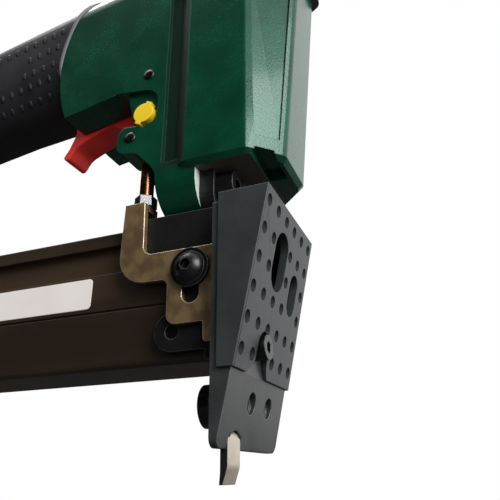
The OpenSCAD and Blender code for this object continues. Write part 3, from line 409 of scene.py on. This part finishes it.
# Rubber grip: a soft sleeve moulded over the handle's core, with small raised studs on both sides
# and a bead along the curved edge where it meets the painted casting; the bead's pale grey is a painted
# highlight.
grip_axis = Vector((0.991445, 0.0, 0.130526))
grip_up = Vector((-0.130526, 0.0, 0.991445))
grip_middle = Vector((-0.080, 0.0, 0.1507))
lip_middle = Vector((-0.0065, 0.0, 0.1387))
lip_r = 0.0601
lip_near = 2e-5
stud_pitch = 0.00465
stud_first = 0.0163
stud_last = -0.120
stud_steps = 30
stud_rows = [0.0073, 0.0, -0.0078, -0.00865, -0.0040]
stud_slopes = [0, 0, 0, 17, 50]
far_rows = 4
stud_wide = 0.0015
stud_tall = 0.0032
stud_h = 0.0005
stud_clear = 0.0020
plain_field = (-0.046, -0.007)
plain_rows = (1, 2)
beside_grip = 0.05
bead_side = 0.0145
bead_top = 0.1717
bead_out = 0.0008
bead_r = 0.0009
bead_weld = 0.00003
sharp = math.radians(30)

grip_rubber = finish("grip_rubber", "303033", "262629", patch=60.0, rough=0.46, grain=2300.0, depth=0.00003,
                     gloss=0.18)
# Painted highlight: the bead's pale grey stands for the light along the lip.
lip_painted_highlight = finish("lip_painted_highlight", "77797D", "65676B", patch=80.0, rough=0.50, grain=2300.0, depth=0.00003,
                    gloss=0.35)


def geometry_tree(name, inputs):
    """An empty Geometry Nodes tree with named number inputs. Returns it with its inputs as signals."""
    tree = bpy.data.node_groups.new(name, "GeometryNodeTree")
    tree.interface.new_socket("Geometry", in_out="INPUT", socket_type="NodeSocketGeometry")
    for title in inputs:
        tree.interface.new_socket(title, in_out="INPUT", socket_type="NodeSocketFloat")
    tree.interface.new_socket("Geometry", in_out="OUTPUT", socket_type="NodeSocketGeometry")
    source = tree.nodes.new("NodeGroupInput")
    tree.nodes.new("NodeGroupOutput").name = "end"
    return tree, {socket.name: Signal(tree, socket) for socket in source.outputs if socket.name}


def close_tree(tree, result, material):
    """Ends a tree: instances made real, and the material set."""
    result = result.node("GeometryNodeRealizeInstances", {}, {0: result})
    result = result.node("GeometryNodeSetMaterial", {}, {0: result, "Material": material})
    result.to(tree.nodes["end"], 0)


def settled(piece):
    """The plain mesh that a piece's modifiers make of it. The modifiers come off."""
    mesh = bpy.data.meshes.new_from_object(piece.evaluated_get(bpy.context.evaluated_depsgraph_get()))
    piece.modifiers.clear()
    return mesh


def smoothed(mesh):
    """The same mesh with every face shaded smooth."""
    for face in mesh.polygons:
        face.use_smooth = True
    return mesh


def grown(name, tree, values, base=None):
    """Runs a tree on a base mesh and returns the plain mesh that it makes."""
    holder = piece_of(name, base or bpy.data.meshes.new(name))
    grower = holder.modifiers.new(name, "NODES")
    grower.node_group = tree
    for socket in tree.interface.items_tree:
        if socket.in_out == "INPUT" and socket.name in values:
            grower[socket.identifier] = values[socket.name]
    mesh = smoothed(settled(holder))
    bpy.data.objects.remove(holder)
    return mesh


def points_with_facing(name, spots):
    """A mesh of loose points, each with the direction that it faces."""
    mesh = bpy.data.meshes.new(name)
    mesh.from_pydata([spot for spot, direction in spots], [], [])
    facing = mesh.attributes.new("facing", "FLOAT_VECTOR", "POINT")
    facing.data.foreach_set("vector", [c for spot, direction in spots for c in direction])
    return mesh


def half_sunk(name, spots, width, length, height, segments, rings, material):
    """Flattened balls whose middles lie at spots of a surface, each turned to face away from it."""
    tree, given = geometry_tree(name, ["Width", "Length", "Height"])
    ball = given["Geometry"].node("GeometryNodeMeshUVSphere", {},
                                  {"Segments": segments, "Rings": rings, "Radius": 0.5})
    facing = ball.node("GeometryNodeInputNamedAttribute", {"data_type": "FLOAT_VECTOR"}, {"Name": "facing"})
    turn = ball.node("FunctionNodeAlignRotationToVector", {"axis": "Z"}, {"Vector": facing})
    size = ball.node("ShaderNodeCombineXYZ", {},
                     {0: given["Width"], 1: given["Length"], 2: given["Height"] * 2})
    balls = ball.node("GeometryNodeInstanceOnPoints", {},
                      {"Points": given["Geometry"], "Instance": ball, "Rotation": turn, "Scale": size})
    close_tree(tree, balls, material)
    return grown(name, tree, {"Width": width, "Length": length, "Height": height},
                 points_with_facing(name, spots))


def joined(name, *meshes):
    """Several plain meshes as one piece, each part with its own material."""
    pieces = [piece_of(name, mesh) for mesh in meshes]
    with bpy.context.temp_override(active_object=pieces[0], object=pieces[0], selected_objects=pieces,
                                   selected_editable_objects=pieces):
        bpy.ops.object.join()
    return pieces[0]


def merged(node, weld=2e-6):
    """The CAD node's triangles as one closed skin."""
    shape = bmesh.new()
    shape.from_mesh(frame["nodes"][node].data)
    bmesh.ops.remove_doubles(shape, verts=shape.verts, dist=weld)
    return shape


def by_angle(shape, name):
    """A new mesh of a skin, smooth apart from its sharp edges."""
    for face in shape.faces:
        face.smooth = True
    for line in shape.edges:
        line.smooth = line.calc_face_angle(0) < sharp
    mesh = bpy.data.meshes.new(name)
    shape.to_mesh(mesh)
    shape.free()
    if "custom_normal" in mesh.attributes:
        mesh.attributes.remove(mesh.attributes["custom_normal"])
    return mesh


def feeler(mesh):
    """A mesh's surface, ready for rays to be cast at it."""
    return BVHTree.FromPolygons([v.co for v in mesh.vertices], [list(p.vertices) for p in mesh.polygons])


def from_lip(point):
    """The way to a point from the middle of the lip's curve, seen from the side."""
    return Vector((point.x, 0, point.z)) - lip_middle


skin = merged("handle_grip")
bead_ends = []
for line in skin.edges:
    ends = [v.co.copy() for v in line.verts]
    on_lip = all(abs(from_lip(end).length - lip_r) < lip_near for end in ends)
    in_sight = max(abs(end.y) for end in ends) > bead_side or max(end.z for end in ends) > bead_top
    if on_lip and in_sight and line.calc_face_angle(0) > sharp:
        bead_ends += [end + from_lip(end).normalized() * bead_out for end in ends]
grip_mesh = by_angle(skin, "grip")
grip_mesh.materials.append(grip_rubber)

surface = feeler(grip_mesh)
spots = []
for side in (-1, 1):
    for row, height in enumerate(stud_rows if side < 0 else stud_rows[:far_rows]):
        slope = math.radians(stud_slopes[row])
        inward = Vector((0, -side * math.cos(slope), 0)) + grip_up * math.sin(slope)
        for step in range(stud_steps):
            along = stud_first - stud_pitch * (step + 0.5 * (row % 2))
            plain = row in plain_rows and plain_field[0] < along < plain_field[1]
            if along < stud_last or plain:
                continue
            point = grip_middle + grip_axis * along + grip_up * height
            hit, normal = surface.ray_cast(point - inward * beside_grip, inward)[:2]
            if hit and from_lip(hit).length - lip_r > stud_clear:
                spots.append((hit, normal))
stud_mesh = half_sunk("grip_studs", spots, width=stud_wide, length=stud_tall, height=stud_h,
                      segments=10, rings=6, material=grip_rubber)

bead_line = bpy.data.meshes.new("bead_line")
bead_line.from_pydata(bead_ends, [(k, k + 1) for k in range(0, len(bead_ends), 2)], [])
tree, given = geometry_tree("grip_bead", ["Radius", "Weld"])
line = given["Geometry"].node("GeometryNodeMergeByDistance", {},
                              {0: given["Geometry"], "Distance": given["Weld"]})
line = line.node("GeometryNodeMeshToCurve", {}, {0: line})
ring = line.node("GeometryNodeCurvePrimitiveCircle", {}, {"Resolution": 10, "Radius": given["Radius"]})
bead = line.node("GeometryNodeCurveToMesh", {}, {0: line, 1: ring, "Fill Caps": True})
close_tree(tree, bead, lip_painted_highlight)
bead_mesh = grown("grip_bead", tree, {"Radius": bead_r, "Weld": bead_weld}, bead_line)
grip = joined("grip", grip_mesh, stud_mesh, bead_mesh)
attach(grip, "tool")
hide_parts("handle_grip")


# Handle's rear end: a moulded cap closes the hollow handle and is held by four socket screws.
# A threaded steel bush in its middle takes the air hose.
paint(moulded_black, "handle_end_cap")
paint(bright_steel, "end_cap_screws", "air_inlet_bush")


# Trigger: a red moulded lever on a blackened roll pin, its outer edges well rounded for the finger.
# Above it sit the brass valve with its stem and spring, and at its side the yellow mode selector.
red_plastic = finish("red_plastic", "FF3E33", "F0322A", patch=70.0, rough=0.32, depth=0.00003)
yellow_plastic = finish("yellow_plastic", "FFE022", "FBD416", patch=90.0, rough=0.42, depth=0.00002)
pin_black = finish("pin_black", "121214", "0A0A0B", patch=150.0, rough=0.24, grain=2200.0, depth=0.00001,
                   soft=0.0016)
brass = finish("brass", "C9A45A", "AF8740", patch=90.0, rough=0.30, metal=1.0, grain=2000.0, depth=0.00001)


def fit(piece, material, slot, *nodes):
    """Gives a piece its material, and lets it stand for CAD nodes on their body."""
    piece.data.materials.clear()
    piece.data.materials.append(material)
    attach(piece, frame["nodes"][nodes[0]]["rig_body"])
    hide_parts(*nodes)
    return piece


lever = piece_of("trigger_lever", by_angle(merged("trigger"), "trigger_lever"))
even_skin = lever.modifiers.new("even_skin", "REMESH")
even_skin.mode = "VOXEL"
even_skin.voxel_size = 0.00028
ease = lever.modifiers.new("eased_edges", "SMOOTH")
ease.factor = 0.5
ease.iterations = 14
lever.data = smoothed(settled(lever))
fit(lever, red_plastic, "red_plastic", "trigger")
paint(pin_black, "trigger_pin", "valve_pin")
paint(brass, "trigger_valve_body")
paint(bright_steel, "valve_stem")
paint(yellow_plastic, "mode_selector")

steps_per_turn = 20
closer_ends = 0.6
wound_wire, given = geometry_tree("wound_wire", ["Turns", "Radius", "Wire", "Bottom", "Top"])
count = given["Turns"] * steps_per_turn
line = count.node("GeometryNodeMeshLine", {}, {"Count": count + 1})
index = count.node("GeometryNodeInputIndex", {}, {})
share_up = index.math("DIVIDE", index, count)
angle = index * (math.tau / steps_per_turn)
wave = share_up.math("SINE", share_up * math.tau, 0.0)
rise = share_up - wave * (closer_ends / math.tau)
spread = given["Top"] - given["Bottom"] - given["Wire"]
high = given["Bottom"] + given["Wire"] * 0.5 + rise * spread
forward = given["Radius"] * angle.math("COSINE", angle, 0.0)
sideways = given["Radius"] * angle.math("SINE", angle, 0.0)
spot = count.node("ShaderNodeCombineXYZ", {}, {0: forward, 1: sideways, 2: high})
line = line.node("GeometryNodeSetPosition", {}, {0: line, "Position": spot})
line = line.node("GeometryNodeMeshToCurve", {}, {0: line})
ring = line.node("GeometryNodeCurvePrimitiveCircle", {}, {"Resolution": 8, "Radius": given["Wire"] * 0.5})
wire = line.node("GeometryNodeCurveToMesh", {}, {0: line, 1: ring, "Fill Caps": True})
close_tree(wound_wire, wire, brass)


def wound_spring(name, node, turns, radius, wire, material, slot):
    """A coil spring of round wire in the place of its CAD node."""
    low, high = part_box(node)
    middle = (low + high) / 2
    mesh = grown(name, wound_wire,
                 {"Turns": turns, "Radius": radius, "Wire": wire, "Bottom": low.z, "Top": high.z})
    mesh.transform(Matrix.Translation((middle.x, middle.y, 0)))
    spring = fit(piece_of(name, mesh), material, slot, node)
    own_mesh(spring)


wound_spring("valve_coil", "valve_spring", turns=5, radius=0.0025, wire=0.0005, material=bright_steel,
             slot="steel")


# Nose: a blackened steel block with arms round the magazine, and a leaning grey front plate screwed on.
# Both are machined; the plate's corners and the edges of its bores are broken.
# Its pale edge tone is a painted highlight along the block's edges.
black_casting = finish("black_casting", "171718", "0E0E0F", patch=60.0, rough=0.46, grain=1300.0, gloss=0.4,
                       edge_wear_and_glint="77797C")
nose_steel = finish("nose_steel", "393A3B", "2C2D2E", patch=80.0, rough=0.40, grain=1700.0, depth=0.00003,
                    gloss=0.6, edge_wear_and_glint="77787A")
paint(black_casting, "nose_body")
paint(nose_steel, "nose_front_plate")
paint(blackened, "plate_screws", "nose_rear_screws", "nose_flange_screws")


# Glass pad: a soft grey boot pulled over the front plate, with three openings to the screws,
# a square grid of small dimples on its face, darkened inside as painted shade, and a fine groove along the
# near edge.
dimple_first = (-0.0196, 0.0234)
dimple_pitch = (0.0078, 0.00806)
dimple_count = 6
dimple_d = 0.0036
dimple_h = 0.0007
skin_depth = 0.00003
pad_lean = math.radians(12.2)
on_face = 0.98
before_pad = 0.06
groove_in = 0.0008
groove_w = 0.0005
groove_h = 0.0004
groove_long = 0.08
groove_z = 0.045

pad_rubber = finish("pad_rubber", "35393A", "2C3031", patch=70.0, rough=0.46, grain=1900.0, depth=0.00004)
# Painted shade: the darker tone for the faces inside the dimples.
dimple_painted_shade = finish("dimple_painted_shade", "1C1F20", "16191A", patch=70.0, rough=0.60, grain=1900.0,
                       depth=0.00004, gloss=0.2)
pad_facing = Vector((math.cos(pad_lean), 0, -math.sin(pad_lean)))
pad_up = Vector((math.sin(pad_lean), 0, math.cos(pad_lean)))
pad = piece_of("pad", by_angle(merged("glass_pad"), "pad"))
surface = feeler(pad.data)
backward = Vector((-1, 0, 0))
spots = []
for column in range(dimple_count):
    for row in range(dimple_count):
        y = dimple_first[0] + dimple_pitch[0] * column
        z = dimple_first[1] + dimple_pitch[1] * row
        hit, normal = surface.ray_cast(Vector((before_pad, y, z)), backward)[:2]
        if hit and normal.dot(pad_facing) > on_face:
            spots.append((hit, normal))
dimple_mesh = half_sunk("pad_dimples", spots, width=dimple_d, length=dimple_d, height=dimple_h,
                        segments=14, rings=8, material=pad_rubber)

near_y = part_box("glass_pad")[0].y
groove_middle = surface.ray_cast(Vector((before_pad, near_y + groove_in, groove_z)), backward)[0]
turn = Matrix((pad_facing, (0, 1, 0), pad_up)).transposed().to_4x4()
shape = bmesh.new()
bmesh.ops.create_cube(shape, size=1.0)
bmesh.ops.scale(shape, verts=shape.verts, vec=(2 * groove_h, groove_w, groove_long))
bmesh.ops.transform(shape, verts=shape.verts, matrix=Matrix.Translation(groove_middle) @ turn)
groove_mesh = bpy.data.meshes.new("pad_groove")
shape.to_mesh(groove_mesh)
shape.free()

cutter = joined("pad_cutter", dimple_mesh, groove_mesh)
cut = pad.modifiers.new("dimples", "BOOLEAN")
cut.operation = "DIFFERENCE"
cut.solver = "EXACT"
cut.object = cutter
shape = bmesh.new()
shape.from_mesh(settled(pad))
pad.data = by_angle(shape, "pad")
bpy.data.objects.remove(cutter)
fit(pad, pad_rubber, "pad_rubber", "glass_pad")
pad.data.materials.append(dimple_painted_shade)
# Faces inside the dimples get the darker tone, as painted shade.
for face in pad.data.polygons:
    above = [spot for spot, normal in spots if (face.center - spot).dot(normal) < -skin_depth]
    face.material_index = int(any((face.center - spot).length < dimple_d / 2 for spot in above))


# Safety: a bracket of yellow-zinc sheet steel slides on the nose under one flanged screw, and carries
# the bent contact tip below and a stud with its nut and return spring above.
yellow_zinc = finish("yellow_zinc", "8A7350", "6B573E", patch=220.0, rough=0.32, metal=0.35, grain=1600.0,
                     depth=0.00003, soft=0.0005, edge_wear_and_glint="EBDCBB", edge_strength=1.0)


def black_flanks(spot, facing):
    """The tip's two flanks, which are given a darker tone than its front face."""
    flank_rims = (0.5, 0.8)
    flank_tone = "2E2A26"
    flank_dull = 0.05
    across = facing.axes()[1]
    return [((across * across).clipped(*flank_rims), flank_tone, flank_dull)]


tip_steel = finish("tip_steel", "CFC5B4", "B4AA9A", patch=70.0, rough=0.42, metal=0.6, depth=0.00003,
                   edge_wear_and_glint="EDE6DA", edge_strength=0.3, tone_masks=black_flanks)
spring_bronze = finish("spring_bronze", "B98A4E", "96683A", patch=90.0, rough=0.28, metal=1.0, grain=2000.0,
                       depth=0.00001)
paint(yellow_zinc, "safety_bracket")
paint(tip_steel, "contact_tip")
paint(blackened, "bracket_screw")
paint(spring_bronze, "safety_stud")
paint(bright_steel, "safety_nut")
wound_spring("safety_coil", "safety_spring", turns=6, radius=0.00155, wire=0.0005, material=spring_bronze,
             slot="brass")


# Magazine: a bronze-anodised aluminium extrusion with grooved sides, closed by a moulded end cap.
# The steel pusher and its rolled band spring run in its track, and a blank label is stuck on its side.
anodised = finish("bronze_anodised", "5B4A38", "392E25", patch=40.0, rough=0.38, metal=0.45, depth=0.00002,
                  stretch=(0.12, 1, 1), edge_wear_and_glint="6E6459", edge_strength=0.5)
label_white = finish("blank_label", "FFF8F2", "FBF3EC", patch=60.0, rough=0.42, grain=900.0, depth=0.00001)
paint(anodised, "magazine_body")
paint(moulded_black, "magazine_end_cap")
paint(blackened, "magazine_screws")
paint(bright_steel, "brad_pusher", "pusher_spring")

label_x = (-0.085, -0.045)
label_z = (0.0419, 0.0519)
label_r = 0.0014
label_t = 0.00012
label_corners = ((1, 1), (0, 1), (0, 0), (1, 0))
corner_points = 7
corner_turn = 15
inset = (label_r, -label_r)
side_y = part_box("magazine_body")[0].y
outline = []
for quarter, (right, top) in enumerate(label_corners):
    for step in range(corner_points):
        angle = math.radians(90 * quarter + corner_turn * step)
        x = label_x[right] + inset[right] + label_r * math.cos(angle)
        z = label_z[top] + inset[top] + label_r * math.sin(angle)
        outline.append((x, z))
count = len(outline)
front = [(x, side_y - label_t, z) for x, z in outline]
back = [(x, side_y, z) for x, z in outline]
faces = [list(range(count)), list(range(2 * count - 1, count - 1, -1))]
for k in range(count):
    after = (k + 1) % count
    faces.append([after, k, k + count, after + count])
mesh = bpy.data.meshes.new("label")
mesh.from_pydata(front + back, [], faces)
label = piece_of("label", mesh)
label.data.materials.append(label_white)
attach(label, "tool")


# Rear leg: a black casting that ties the magazine's rear end to the handle's cap.
# It is finished as the nose is, and held by two socket screws.
paint(black_casting, "rear_bracket")
paint(bright_steel, "rear_bracket_screws")
